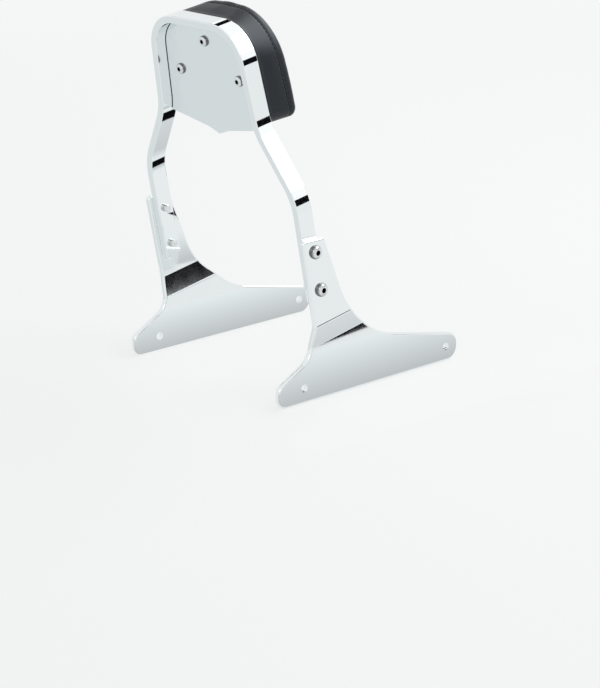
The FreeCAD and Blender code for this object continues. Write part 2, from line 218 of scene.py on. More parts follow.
class BackrestStage(bpy.types.PropertyGroup):
    """Camera and floor."""
    floor: colour_property("Floor", "Pale floor and backdrop", "F6F7F7")
    azimuth: angle_property("Azimuth", "Camera's turn round the backrest", 48.29)
    elevation: angle_property("Elevation", "Camera's height above the horizon", 18.07)
    roll: angle_property("Roll", "Camera's turn about its own axis", -0.23)
    distance: length_property("Distance", "Camera's distance from the point that it is aimed by", 2288.5)
    focal_pixels: bpy.props.FloatProperty(
        name="Focal length in pixels", description="Focal length in pixels of the frame", default=2223.35)


def unit(vectors):
    """Vectors brought to a length of one."""
    return vectors / np.linalg.norm(vectors, axis=-1, keepdims=True)


def link(name, data):
    """A new object in the scene."""
    piece = bpy.data.objects.new(name, data)
    bpy.context.scene.collection.objects.link(piece)
    return piece


def mesh_points(mesh):
    """Vertices of a mesh as an array."""
    points = np.empty(len(mesh.vertices) * 3, np.float32)
    mesh.vertices.foreach_get("co", points)
    return points.reshape(-1, 3).astype(float)


def mesh_normals(mesh):
    """Vertex normals of a mesh as an array."""
    normals = np.empty(len(mesh.vertices) * 3, np.float32)
    mesh.vertex_normals.foreach_get("vector", normals)
    return normals.reshape(-1, 3).astype(float)


def evaluated_points(piece):
    """Vertices of a piece with its modifiers."""
    graph = bpy.context.evaluated_depsgraph_get()
    return mesh_points(piece.evaluated_get(graph).data)


def lean_axes():
    """Lower hoop bolt and the directions up the lean and forward through the bar, from the frame."""
    lower = node_centre("hoop_bolt_right_lower")
    upper = node_centre("hoop_bolt_right_upper")
    origin = Vector((0, lower.y, lower.z))
    up = (upper - lower).normalized()
    forward = Vector((1, 0, 0)).cross(up) * -1
    return np.array(origin), np.array(up), np.array(forward)


def bar_front():
    """Place of the bar's front face along the forward direction."""
    origin, _, forward = lean_axes()
    return ((mesh_points(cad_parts["upright_hoop"].data) - origin) @ forward).max()


def leaned(across, up, forward):
    """Points given across, up the lean and forward of the bar's front face, in the frame."""
    origin, up_axis, forward_axis = lean_axes()
    place = np.asarray(forward) + bar_front()
    points = origin + np.asarray(up)[..., None] * up_axis + place[..., None] * forward_axis
    points[..., 0] = across
    return points


def forward_of_bar(points):
    """How far points stand forward of the bar's front face."""
    origin, _, forward = lean_axes()
    return (points - origin) @ forward - bar_front()


def grid_faces(rings, columns, open_back):
    """Faces over closed rings of points.

    One point after the rings closes the last of them, and another the first, unless the back is open.
    """
    ring = np.arange(rings - 1)[:, None] * columns
    column = np.arange(columns)
    after = (column + 1) % columns
    quads = np.stack([ring + column, ring + columns + column, ring + columns + after, ring + after], -1)
    last, pole = (rings - 1) * columns, np.full(columns, rings * columns)
    fans = [np.stack([pole, last + after, last + column], 1)]
    if not open_back:
        fans.append(np.stack([pole + 1, column, after], 1))
    return quads.reshape(-1, 4), np.concatenate(fans)


def grid_mesh(name, points, open_back=False):
    """Mesh of rows of points round a form.

    The last row becomes one point, and so does the first, unless the back is open.
    """
    rings = points[:-1] if open_back else points[1:-1]
    poles = [points[-1].mean(0)] if open_back else [points[-1].mean(0), points[0].mean(0)]
    quads, fans = grid_faces(*rings.shape[:2], open_back)
    mesh = bpy.data.meshes.new(name)
    corners = np.vstack([rings.reshape(-1, 3), *poles])
    mesh.from_pydata(corners.tolist(), [], quads.tolist() + fans.tolist())
    mesh.update()
    return mesh


def on_grid(values, shape):
    """Values at a closed grid mesh's vertices, laid out on its rows, with each end point's along its row."""
    rows, columns = shape
    body = values[:-2].reshape(rows - 2, columns, *values.shape[1:])
    front, back = (np.broadcast_to(value, body[:1].shape) for value in (values[-2], values[-1]))
    return np.concatenate([back, body, front])


def on_mesh(grid):
    """Values on the rows of a closed grid, laid out as its mesh's vertices."""
    return np.concatenate([grid[1:-1].reshape(-1, *grid.shape[2:]), grid[-1, :1], grid[0, :1]])


def round_bars(name, lines, side, out, thickness, sides):
    """Mesh of round bars, each closed to a point at both ends.

    About every point of a bar's line, a circle of the half thickness there is drawn by its two directions, as
    cosine times side and sine times out.
    """
    turn = np.linspace(0, 2 * math.pi, sides, endpoint=False)[:, None]
    circle = np.cos(turn) * side[:, :, None] + np.sin(turn) * out[:, :, None]
    rings = lines[:, :, None] + thickness[:, None, None] * circle
    bars = np.concatenate([rings.reshape(len(lines), -1, 3), lines[:, -1:], lines[:, :1]], 1)
    first = np.arange(len(lines))[:, None, None] * bars.shape[1]
    quads, fans = (
        (faces + first).reshape(-1, faces.shape[1]).tolist()
        for faces in grid_faces(*rings.shape[1:3], False))
    mesh = bpy.data.meshes.new(name)
    mesh.from_pydata(bars.reshape(-1, 3).tolist(), [], quads + fans)
    mesh.shade_smooth()
    return mesh


def rounded_outline(corners, count):
    """Even points along a closed outline of straight runs and corner arcs, from the middle of its first run.

    Each corner (a, b, radius) is cut off at radius / tan(half its angle) along both runs, and an arc about a
    point on the bisector joins the two ends. The dense polyline is then divided into equal lengths.
    """
    corner = np.array(corners, float)
    place, radius = corner[:, :2], corner[:, 2:]
    back = unit(np.roll(place, 1, 0) - place)
    ahead = np.roll(-back, -1, 0)
    half = np.arccos((back * ahead).sum(1, keepdims=True)) / 2
    start = place + back * radius / np.tan(half)
    end = place + ahead * radius / np.tan(half)
    centre = place + unit(back + ahead) * radius / np.sin(half)
    share = np.linspace(0, 1, CORNER_POINTS)[None, :, None]
    sweep = (math.pi / 2 - half)[:, None] * 2
    from_start, from_end = (start - centre)[:, None], (end - centre)[:, None]
    swept = np.sin((1 - share) * sweep) * from_start + np.sin(share * sweep) * from_end
    arc = centre[:, None] + swept / np.sin(sweep)
    first = (end[0] + start[1]) / 2
    line = np.vstack([first, np.roll(arc, -1, 0).reshape(-1, 2), first])
    reach = np.concatenate([[0], np.cumsum(np.linalg.norm(np.diff(line, axis=0), axis=1))])
    even = np.linspace(0, reach[-1], count, endpoint=False)
    return np.stack([np.interp(even, reach, line[:, 0]), np.interp(even, reach, line[:, 1])], 1)


def smoothed(grid, reach):
    """Grid averaged with a bell of weights, round its rows and then across them."""
    step = np.arange(-2 * reach, 2 * reach + 1)
    bell = np.exp(-(step / reach) ** 2)
    bell /= bell.sum()
    along = sum(weight * np.roll(grid, s, 1) for weight, s in zip(bell, step))
    wide = np.pad(along, ((2 * reach, 2 * reach), (0, 0)), mode="edge")
    return sum(weight * wide[2 * reach + s:2 * reach + s + len(grid)] for weight, s in zip(bell, step))


def add_node(tree, kind, links=None, **settings):
    """Adds a node, sets its properties or input sockets and links named inputs to outputs."""
    node = tree.nodes.new(kind)
    for key, value in settings.items():
        if hasattr(node, key):
            setattr(node, key, value)
        else:
            node.inputs[key.replace("_", " ")].default_value = value
    for key, source in (links or {}).items():
        tree.links.new(source, node.inputs[key])
    return node


def new_material(name):
    """An empty node material with a Principled surface."""
    material = bpy.data.materials.new(name)
    material.use_nodes = True
    tree = material.node_tree
    tree.nodes.clear()
    surface = add_node(tree, "ShaderNodeBsdfPrincipled")
    add_node(tree, "ShaderNodeOutputMaterial", {"Surface": surface.outputs["BSDF"]})
    return material, tree, surface


def toned(colour, share):
    """A colour made darker or lighter, as a node takes it."""
    return (*[min(1, part * share) for part in colour], 1)


def worked_surface(tree, surface, pattern, tones, roughness, relief_mm, strength, shade=None):
    """Takes one pattern, from its low to its high, into colour, roughness and relief.

    The colour follows another pattern where shade gives one.
    """
    tone = add_node(
        tree, "ShaderNodeMix", {"Factor": pattern if shade is None else shade}, data_type="RGBA",
        A=tones[0], B=tones[1])
    dull = add_node(
        tree, "ShaderNodeMapRange", {"Value": pattern}, To_Min=roughness[0], To_Max=roughness[1])
    bump = add_node(
        tree, "ShaderNodeBump", {"Height": pattern}, Distance=relief_mm * MM, Strength=strength)
    tree.links.new(tone.outputs["Result"], surface.inputs["Base Color"])
    tree.links.new(dull.outputs["Result"], surface.inputs["Roughness"])
    tree.links.new(bump.outputs["Normal"], surface.inputs["Normal"])


def plated_steel(name, colour, roughness, polish_mm, wave_height_mm):
    """Plate on polished steel: a clear mirror, with faint drifts of polish and slow waves in the metal."""
    material, tree, surface = new_material(name)
    surface.inputs["Base Color"].default_value = (*colour, 1)
    surface.inputs["Metallic"].default_value = 1
    place = add_node(tree, "ShaderNodeTexCoord").outputs["Object"]
    polish = add_node(
        tree, "ShaderNodeTexNoise", {"Vector": place}, Scale=1 / (polish_mm * MM), Detail=3.0)
    # Roughness from well under to well over its mean
    spread = add_node(
        tree, "ShaderNodeMapRange", {"Value": polish.outputs["Fac"]}, To_Min=roughness * 0.6,
        To_Max=roughness * 1.6)
    tree.links.new(spread.outputs["Result"], surface.inputs["Roughness"])
    # Waves three times as wide as the drifts of polish
    wave = add_node(
        tree, "ShaderNodeTexNoise", {"Vector": place}, Scale=1 / (3 * polish_mm * MM), Detail=1.0)
    bump = add_node(
        tree, "ShaderNodeBump", {"Height": wave.outputs["Fac"]}, Distance=wave_height_mm * MM, Strength=1.0)
    tree.links.new(bump.outputs["Normal"], surface.inputs["Normal"])
    return material


def dress(names, material):
    """Gives carried-over pieces one finish."""
    for name in names:
        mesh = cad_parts[name].data
        mesh.materials.clear()
        mesh.materials.append(material)


class BACKREST_OT_bright_metal(bpy.types.Operator):
    """Chromes the bar, the panel and the side plates"""
    bl_idname = "backrest.bright_metal"
    bl_label = "Bright Metal"

    def execute(self, context):
        finishes = context.scene.backrest_finishes
        dress(["upright_hoop"], plated_steel(
            "chromed_bar", finishes.chrome, roughness=0.035, polish_mm=12, wave_height_mm=0.006))
        # The panel's darker chrome colour is painted shade of the darker surroundings it mirrors
        dress(["back_panel"], plated_steel(
            "chromed_panel", finishes.panel, roughness=0.20, polish_mm=18, wave_height_mm=0.006))
        dress(SIDE_PLATES, plated_steel(
            "chromed_plate", finishes.chrome, roughness=0.05, polish_mm=18, wave_height_mm=0.006))
        return {"FINISHED"}


def joint_shade_material(colour):
    """Dark bead in the corner as painted shade of the joint's gap, with close ripples that break up the
    shine.
    """
    material, tree, surface = new_material("joint_shade_steel")
    surface.inputs["Metallic"].default_value = 1
    place = add_node(tree, "ShaderNodeTexCoord").outputs["Object"]
    # Ripples about 1.2 mm apart
    ripple = add_node(tree, "ShaderNodeTexNoise", {"Vector": place}, Scale=1 / (1.2 * MM), Detail=2.0)
    worked_surface(
        tree, surface, ripple.outputs["Fac"], tones=(toned(colour, 0.6), toned(colour, 1.5)),
        roughness=(0.35, 0.55), relief_mm=0.2, strength=0.6)
    return material


class BACKREST_OT_panel_joint_shade(bpy.types.Operator):
    """Runs a slim dark bead of painted joint shade along the corner between the panel and the bar's inside"""
    bl_idname = "backrest.panel_weld"
    bl_label = "Panel Weld"

    def execute(self, context):
        weld = context.scene.backrest_weld
        right = [
            (weld.slope_half_width, weld.slope_height, weld.radius),
            (weld.neck_half_width, weld.neck_height, weld.bend_radius),
            (weld.shoulder_half_width, weld.top, weld.shoulder_radius),
        ]
        left = [(-across, up, radius) for across, up, radius in reversed(right)]
        outline = rounded_outline([left[-1], *right, *left[:-1]], JOINT_SHADE_POINTS)
        across, up = outline[outline[:, 1] > weld.low_end].T
        line = leaned(across, up, np.full(across.shape, -weld.panel_recess))
        ahead = unit(np.gradient(line, axis=0))
        forward = np.broadcast_to(lean_axes()[2], line.shape)
        side = np.cross(forward, ahead)
        thickness = np.full(len(line), weld.radius)
        mesh = round_bars("panel_weld", line[None], side[None], forward[None], thickness, JOINT_SHADE_SIDES)
        mesh.materials.append(joint_shade_material(context.scene.backrest_finishes.weld))
        bead = link("panel_weld", mesh)
        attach(bead, "root")
        return {"FINISHED"}


def fastener_material(name, colour, head, rim, socket, tip):
    """Chromed button-head bolt: a bright dome, painted shade at its rim and hex socket, and a rolled thread.

    The pattern is centred on the bolt, in the directions across, up the lean and forward, and turned so that
    the bolt's axis, from its tip to its head, is the third coordinate. The rim's painted shade comes in
    between two shares of the head's radius, and the thread ends at a place along the axis, or there is none.
    """
    _, up, forward = lean_axes()
    axes = np.stack([(1, 0, 0), up, forward])
    along_axes = mesh_points(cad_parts[name].data) @ axes.T
    centre = (along_axes.min(0) + along_axes.max(0)) / 2 @ axes
    outwards = Vector((math.copysign(1, centre[0]), 0, 0)) if tip else Vector(-forward)
    material = plated_steel("chromed_bolt_" + name, colour, roughness=0.06, polish_mm=4, wave_height_mm=0.003)
    tree = material.node_tree
    surface = tree.nodes["Principled BSDF"]
    place = add_node(tree, "ShaderNodeTexCoord").outputs["Object"]
    turned = add_node(
        tree, "ShaderNodeMapping", {"Vector": place}, vector_type="TEXTURE", Location=centre,
        Rotation=outwards.to_track_quat("Z", "Y").to_euler()).outputs["Vector"]
    parts = add_node(tree, "ShaderNodeSeparateXYZ", {"Vector": turned}).outputs
    flat = add_node(tree, "ShaderNodeCombineXYZ", {"X": parts["X"], "Y": parts["Y"]}).outputs["Vector"]
    from_axis = add_node(tree, "ShaderNodeVectorMath", {0: flat}, operation="LENGTH").outputs["Value"]
    # Painted shade of the deep hex socket: a dark disc that takes in its corners, at 0.577 of its width
    # across the flats
    inside = add_node(
        tree, "ShaderNodeMapRange", {"Value": from_axis}, From_Min=socket * 0.56, From_Max=socket * 0.6,
        To_Min=1.0, To_Max=0.0).outputs["Result"]
    # Painted shade round the head's rim, where it meets the part it holds, up to four fifths of the way to
    # black
    edge = add_node(
        tree, "ShaderNodeMapRange", {"Value": from_axis}, From_Min=head * rim[0], From_Max=head * rim[1],
        To_Min=0.0, To_Max=0.8).outputs["Result"]
    darker = add_node(tree, "ShaderNodeMath", {0: inside, 1: edge}, operation="MAXIMUM").outputs["Value"]
    on_head = add_node(tree, "ShaderNodeMath", {0: parts["Z"]}, operation="GREATER_THAN")
    on_head.inputs[1].default_value = 0
    shade = add_node(tree, "ShaderNodeMath", {0: darker, 1: on_head.outputs["Value"]}, operation="MULTIPLY")
    # The painted shade of socket and rim takes the plate's colour nearly to black
    tone = add_node(
        tree, "ShaderNodeMix", {"Factor": shade.outputs["Value"]}, data_type="RGBA", A=(*colour, 1),
        B=(0.012, 0.012, 0.013, 1))
    tree.links.new(tone.outputs["Result"], surface.inputs["Base Color"])
    if tip:
        turns = add_node(
            tree, "ShaderNodeTexWave", {"Vector": turned}, bands_direction="Z",
            Scale=WAVE_BAND / (THREAD_PITCH_MM * MM)).outputs["Fac"]
        at_tip = add_node(
            tree, "ShaderNodeMapRange", {"Value": parts["Z"]}, From_Min=tip, From_Max=tip - 0.2 * MM,
            To_Min=0.0, To_Max=1.0).outputs["Result"]
        cut = add_node(tree, "ShaderNodeMath", {0: turns, 1: at_tip}, operation="MULTIPLY")
        thread = add_node(
            tree, "ShaderNodeBump",
            {"Height": cut.outputs["Value"], "Normal": tree.nodes["Bump"].outputs["Normal"]},
            Distance=0.6 * MM, Strength=1.0)
        tree.links.new(thread.outputs["Normal"], surface.inputs["Normal"])
    return material


class BACKREST_OT_fasteners(bpy.types.Operator):
    """Finishes the screws, bolts, tee nuts and staples"""
    bl_idname = "backrest.fasteners"
    bl_label = "Fasteners"

    def execute(self, context):
        finishes = context.scene.backrest_finishes
        fasteners = context.scene.backrest_fasteners
        # The rim shares give where each head's painted rim shade comes in
        for name in HOOP_BOLTS:
            dress([name], fastener_material(
                name, finishes.fastener, fasteners.bolt_head, rim=(0.74, 0.98),
                socket=fasteners.bolt_socket, tip=fasteners.bolt_thread))
        for name in PAD_SCREWS:
            dress([name], fastener_material(
                name, finishes.fastener, fasteners.screw_head, rim=(0.86, 0.98),
                socket=fasteners.screw_socket, tip=None))
        dress(TEE_NUTS + ["pad_staples"], plated_steel(
            "zinc_plated_steel", finishes.zinc, roughness=0.38, polish_mm=3, wave_height_mm=0.004))
        return {"FINISHED"}


def foam_material(colour):
    """Cut polyurethane foam: cream, dull, pitted all over by open cells."""
    material, tree, surface = new_material("polyurethane_foam")
    place = add_node(tree, "ShaderNodeTexCoord").outputs["Object"]
    # Open cells of about 0.9 mm
    cells = add_node(tree, "ShaderNodeTexVoronoi", {"Vector": place}, Scale=1 / (0.9 * MM))
    worked_surface(
        tree, surface, cells.outputs["Distance"], tones=(toned(colour, 0.6), toned(colour, 1)),
        roughness=(0.98, 0.85), relief_mm=0.3, strength=0.7)
    return material


def plywood_material(colour):
    """Birch plywood, sawn and sanded: pale faces streaked along the grain, with darker lines at the edge."""
    material, tree, surface = new_material("birch_plywood")
    lean = math.atan2(*lean_axes()[2][[2, 1]])
    place = add_node(tree, "ShaderNodeTexCoord").outputs["Object"]
    upright = add_node(
        tree, "ShaderNodeMapping", {"Vector": place}, Rotation=(-lean, 0, 0)).outputs["Vector"]
    # Streaks about 1.5 mm wide and 40 mm long, and pairs of veneers 3.6 mm thick
    streak = add_node(tree, "ShaderNodeMapping", {"Vector": upright}, Scale=(0.04, 1, 1)).outputs["Vector"]
    grain = add_node(
        tree, "ShaderNodeTexNoise", {"Vector": streak}, Scale=1 / (1.5 * MM), Detail=4.0).outputs["Fac"]
    veneer = add_node(
        tree, "ShaderNodeTexWave", {"Vector": upright}, bands_direction="Y",
        Scale=WAVE_BAND / (3.6 * MM)).outputs["Fac"]
    layers = add_node(tree, "ShaderNodeMath", {0: grain, 1: veneer}, operation="MULTIPLY_ADD")
    layers.inputs[2].default_value = 0.15
    worked_surface(
        tree, surface, grain, tones=(toned(colour, 0.55), toned(colour, 1.3)), roughness=(0.55, 0.8),
        relief_mm=0.1, strength=0.4, shade=layers.outputs["Value"])
    return material


class BACKREST_OT_pad_filling(bpy.types.Operator):
    """Finishes the foam and the base board under the cover"""
    bl_idname = "backrest.pad_filling"
    bl_label = "Pad Filling"

    def execute(self, context):
        finishes = context.scene.backrest_finishes
        dress(["pad_foam"], foam_material(finishes.foam))
        dress(["pad_base_board"], plywood_material(finishes.board))
        return {"FINISHED"}


def vinyl_material(colour):
    """Embossed upholstery vinyl: black, satin, with a fine leather grain that breaks up a broad highlight."""
    material, tree, surface = new_material("upholstery_vinyl")
    surface.inputs["IOR"].default_value = 1.48
    surface.inputs["Specular Tint"].default_value = (0.80, 0.90, 1.0, 1)
    place = add_node(tree, "ShaderNodeTexCoord").outputs["Object"]
    crease = add_node(tree, "ShaderNodeAttribute", attribute_name="crease").outputs["Fac"]
    # Tone wanders a little over patches of 25 mm, and painted shade takes it to black in the seam's crease
    drift = add_node(
        tree, "ShaderNodeTexNoise", {"Vector": place}, Scale=1 / (25 * MM), Detail=3.0).outputs["Fac"]
    hide = add_node(
        tree, "ShaderNodeMix", {"Factor": drift}, data_type="RGBA", A=toned(colour, 0.8),
        B=toned(colour, 1.25))
    tone = add_node(
        tree, "ShaderNodeMix", {"Factor": crease, "A": hide.outputs["Result"]}, data_type="RGBA",
        B=(0.0008, 0.0008, 0.0009, 1))
    tree.links.new(tone.outputs["Result"], surface.inputs["Base Color"])
    satin = add_node(tree, "ShaderNodeMapRange", {"Value": drift}, To_Min=0.36, To_Max=0.46)
    dull = add_node(tree, "ShaderNodeMath", {0: satin.outputs["Result"], 1: crease}, operation="MAXIMUM")
    tree.links.new(dull.outputs["Value"], surface.inputs["Roughness"])
    # Grain cells of about a millimetre
    grain = add_node(
        tree, "ShaderNodeTexVoronoi", {"Vector": place}, feature="DISTANCE_TO_EDGE", Scale=1 / (1.1 * MM))
    bump = add_node(
        tree, "ShaderNodeBump", {"Height": grain.outputs["Distance"]}, Distance=0.06 * MM, Strength=0.35)
    tree.links.new(bump.outputs["Normal"], surface.inputs["Normal"])
    return material


def pad_outlines(pad, count):
    """Outline of the pad's back and of its fuller front, from the middle of the lower edge."""
    back_shoulder = pad.back_top - pad.back_crown
    back = rounded_outline([
        (-pad.back_half_width, pad.bottom, pad.bottom_radius),
        (pad.back_half_width, pad.bottom, pad.bottom_radius),
        (pad.back_top_half_width, back_shoulder, pad.shoulder_radius),
        (0, pad.back_top, pad.crown_radius),
        (-pad.back_top_half_width, back_shoulder, pad.shoulder_radius),
    ], count)
    front_bottom = pad.bottom - pad.sag
    front = rounded_outline([
        (-pad.front_half_width, front_bottom, pad.bottom_radius),
        (pad.front_half_width, front_bottom, pad.bottom_radius),
        (pad.front_top_half_width, pad.front_shoulder, pad.front_shoulder_radius),
        (0, pad.front_top, pad.crown_radius),
        (-pad.front_top_half_width, pad.front_shoulder, pad.front_shoulder_radius),
    ], count)
    return back, front


def pad_surface(pad):
    """Closed form of the pad as rows round its outline, from the middle of the back to that of the front.

    Row by row: the flat back grows from its middle to the edge of the lip and on to the roll, a quarter
    circle rolls it into the side, the side runs straight from the back outline to the front one, a second
    quarter circle rolls it into the front, and the front closes on a sphere. Gives places across, up the lean
    and forward of the bar.
    """
    around = pad.stitches * COLUMNS_PER_STITCH
    back, front = pad_outlines(pad, around)
    middle = np.array([0, (pad.bottom + pad.back_top) / 2])
    even = np.ones(around)

    def dome(points):
        """Depth of the front sphere over points across and up."""
        square = points[..., 0] ** 2 + (points[..., 1] - pad.fullest) ** 2
        return pad.depth - pad.face_radius + np.sqrt(pad.face_radius ** 2 - square)

    def section(depth):
        """Outline of the straight side at a depth."""
        return back + (front - back) * (depth / pad.depth)[..., None]

    def drawn_in(points, distance):
        """Points moved a distance towards the middle of the pad."""
        return points - unit(points - middle) * np.asarray(distance)[..., None]

    def grow(rows):
        """Shares of a run from its start up to but not at its end."""
        return np.linspace(0, 1, rows, endpoint=False)[:, None]

    roll, rim = pad.back_roll, pad.rim_radius
    lip_edge = drawn_in(back, pad.lip * even)
    inside_lip = middle + (lip_edge - middle) * grow(BACK_ROWS)[..., None]
    lip = drawn_in(back, (pad.lip + (roll - pad.lip) * grow(LIP_ROWS)) * even)
    turn = grow(ROLL_ROWS) * math.pi / 2
    roll_depth = roll * (1 - np.cos(turn)) * even
    rolled_back = drawn_in(section(roll_depth), roll * (1 - np.sin(turn)) * even)
    rim_start = dome(section(even * (pad.depth - rim))) - rim
    side_depth = roll + (rim_start - roll) * grow(SIDE_ROWS)
    turn = grow(RIM_ROWS) * math.pi / 2
    rim_depth = rim_start + rim * np.sin(turn)
    rolled_front = drawn_in(section(np.tile(rim_start, (RIM_ROWS, 1))), rim * (1 - np.cos(turn)) * even)
    front_edge = drawn_in(section(rim_start), rim * even)
    share = 1 - np.linspace(0, 1, FACE_ROWS)[:, None]
    face = middle + (front_edge - middle) * share[..., None]
    face_depth = dome(face) + (rim_start + rim - dome(front_edge)) * share
    flat = np.concatenate([inside_lip, lip, rolled_back, section(side_depth), rolled_front, face])
    level = np.zeros((BACK_ROWS + LIP_ROWS, around))
    depth = np.concatenate([level, roll_depth, side_depth, rim_depth, face_depth])
    return flat[..., 0], flat[..., 1], depth


def grid_normals(form):
    """Outward normals of a closed form at the points of its grid."""
    mesh = grid_mesh("pad_plain", form)
    normals = on_grid(mesh_normals(mesh), form.shape[:2])
    bpy.data.meshes.remove(mesh)
    return normals


def settled(form):
    """The form brought onto the outside of the solid cover.

    Each point of its rolls, side and front is taken a little outwards along the form's normals and comes back
    until it meets the solid. What that adds is smoothed, and what the smoothing left out of it comes second.
    """
    normals = grid_normals(form)
    wrap = link("pad_wrap", grid_mesh("pad_wrap", form + normals * SETTLE_REACH))
    onto = wrap.modifiers.new("Onto the solid", "SHRINKWRAP")
    onto.wrap_method = "PROJECT"
    onto.use_positive_direction = False
    onto.use_negative_direction = True
    onto.project_limit = 2 * SETTLE_REACH
    onto.target, onto.auxiliary_target = (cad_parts[name] for name in PAD_COVER_NODES)
    start = mesh_points(wrap.data)
    landed = evaluated_points(wrap)
    bpy.data.objects.remove(wrap)
    met = np.linalg.norm(landed - start, axis=1) > HAIR
    rise = np.where(met, ((landed - start) * on_mesh(normals)).sum(1) + SETTLE_REACH, 0)
    rise = on_grid(rise, form.shape[:2])
    rise[:BACK_ROWS + LIP_ROWS] = 0
    even = smoothed(rise, SETTLE_SMOOTHING)
    return form + even[..., None] * normals, rise - even


def inflate(pad, form):
    """The form on even faces, with its points before and after its filling blows it up.

    It is held at its back and along its seam, where it is sewn, and free between them.
    """
    work = link("pad_inflation", grid_mesh("pad_inflation", form))
    bpy.context.view_layer.objects.active = work
    remesh = work.modifiers.new("Even faces", "REMESH")
    remesh.mode = "VOXEL"
    remesh.voxel_size = pad.voxel
    bpy.ops.object.modifier_apply(modifier=remesh.name)
    calm = mesh_points(work.data)
    depth = forward_of_bar(calm)
    # Held fast at the back up to half of that depth, and nearly so along the seam
    at_back = np.clip(1.5 - depth / HELD_DEPTH, 0, 1)
    at_seam = 0.85 * np.exp(-((depth - pad.seam_depth) / HELD_DEPTH) ** 2)
    hold = np.round(np.maximum(at_back, at_seam), 1)
    pins = work.vertex_groups.new(name="held")
    for level in np.unique(hold):
        pins.add(np.flatnonzero(hold == level).tolist(), float(level), "REPLACE")
    cloth = work.modifiers.new("Filling", "CLOTH")
    cloth.settings.vertex_group_mass = pins.name
    cloth.settings.use_pressure = True
    cloth.settings.uniform_pressure_force = pad.pressure
    cloth.settings.effector_weights.gravity = 0
    cloth.settings.quality = 6
    cloth.point_cache.frame_start = 1
    cloth.point_cache.frame_end = LAST_STEP
    for step in range(1, LAST_STEP + 1):
        bpy.context.scene.frame_set(step)
    moved = evaluated_points(work) - calm
    bpy.context.scene.frame_set(1)
    work.modifiers.remove(cloth)
    far = np.linalg.norm(moved, axis=1, keepdims=True)
    blown = calm + moved * np.minimum(1, pad.swell / np.maximum(far, HAIR))
    rounder = work.modifiers.new("Rounder", "SUBSURF")
    rounder.levels = rounder.render_levels = 1
    return work, calm, blown


def swelling(pad, form):
    """How far the filling pushes each point of the form outwards.

    That is its rise onto the blown-up mesh, less its rise onto the same mesh before.
    """
    work, calm, blown = inflate(pad, form)
    wrap = link("pad_wrap", grid_mesh("pad_wrap", form))
    onto = wrap.modifiers.new("Onto the filling", "SHRINKWRAP")
    onto.target = work
    onto.wrap_method = "NEAREST_SURFACEPOINT"
    start, normals = mesh_points(wrap.data), mesh_normals(wrap.data)
    rise = []
    for points in (calm, blown):
        work.data.vertices.foreach_set("co", points.astype(np.float32).ravel())
        work.data.update()
        rise.append(((evaluated_points(wrap) - start) * normals).sum(1))
    bpy.data.objects.remove(wrap)
    bpy.data.objects.remove(work)
    return smoothed(on_grid(rise[1] - rise[0], form.shape[:2]), SWELL_SMOOTHING)


class BACKREST_OT_pad_cover(bpy.types.Operator):
    """Makes the sewn vinyl cover, blown up by its filling and drawn in along its seam"""
    bl_idname = "backrest.pad_cover"
    bl_label = "Pad Cover"

    def execute(self, context):
        pad = context.scene.backrest_pad
        form, left_out = settled(leaned(*pad_surface(pad)))
        depth = forward_of_bar(form)
        normals = grid_normals(form)
        swell = swelling(pad, form)
        off_back = np.clip(depth / HELD_DEPTH, 0, 1)
        seam = np.exp(-((depth - pad.seam_depth) / pad.groove_width) ** 2)
        needle = np.cos(np.arange(depth.shape[1]) * 2 * math.pi / COLUMNS_PER_STITCH)
        # The foam lies under the vinyl's thickness, and the cover is kept above it
        rise = np.maximum(off_back * (swell - pad.slack), left_out - SINK_BESIDE_SEAM * pad.vinyl)
        drawn = rise - seam * (pad.groove_depth + pad.pucker * needle)
        rise = np.maximum(drawn, left_out - SINK_IN_SEAM * pad.vinyl)
        shown = slice(BACK_ROWS, None)
        outside = (form + rise[..., None] * normals)[shown]
        cover = link("pad_cover", grid_mesh("pad_cover", outside, open_back=True))
        # The crease is where the vinyl is painted black as the seam's shade, and made dull
        crease_width = CREASE_SHARE * pad.groove_width
        crease = np.exp(-((depth - pad.seam_depth) / crease_width) ** 2)[shown]
        layer = cover.data.attributes.new("crease", "FLOAT", "POINT")
        layer.data.foreach_set("value", np.append(crease[:-1].ravel(), 0).astype(np.float32))
        cover.data.shade_smooth()
        wall = cover.modifiers.new("Vinyl thickness", "SOLIDIFY")
        wall.thickness = pad.vinyl
        wall.offset = -1
        cover.data.materials.append(vinyl_material(context.scene.backrest_finishes.vinyl))
        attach(cover, "root")
        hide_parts(*PAD_COVER_NODES)
        return {"FINISHED"}


def thread_material(colour):
    """Bonded polyester thread, black, lightened to dark grey as painted sheen.

    A twist of fine plies catches a dull sheen.
    """
    material, tree, surface = new_material("polyester_thread")
    place = add_node(tree, "ShaderNodeTexCoord").outputs["Object"]
    # Plies of the thread about 0.4 mm apart
    plies = add_node(
        tree, "ShaderNodeTexWave", {"Vector": place}, bands_direction="DIAGONAL",
        Scale=WAVE_BAND / (0.4 * MM), Distortion=1.5)
    worked_surface(
        tree, surface, plies.outputs["Fac"], tones=(toned(colour, 0.5), toned(colour, 1)),
        roughness=(0.6, 0.42), relief_mm=0.08, strength=0.6)
    return material


def seam_line(pad, cover):
    """Points and normals of the cover along its seam, between the two rows whose depths span the seam's."""
    columns = pad.stitches * COLUMNS_PER_STITCH
    points, normals = (
        values[:-1].reshape(-1, columns, 3)
        for values in (mesh_points(cover.data), mesh_normals(cover.data)))
    depth = forward_of_bar(points)
    column = np.arange(columns)
    outer = (depth >= pad.seam_depth).argmax(0)
    low, high = depth[outer - 1, column], depth[outer, column]
    share = ((pad.seam_depth - low) / (high - low))[:, None]
    return tuple((1 - share) * v[outer - 1, column] + share * v[outer, column] for v in (points, normals))


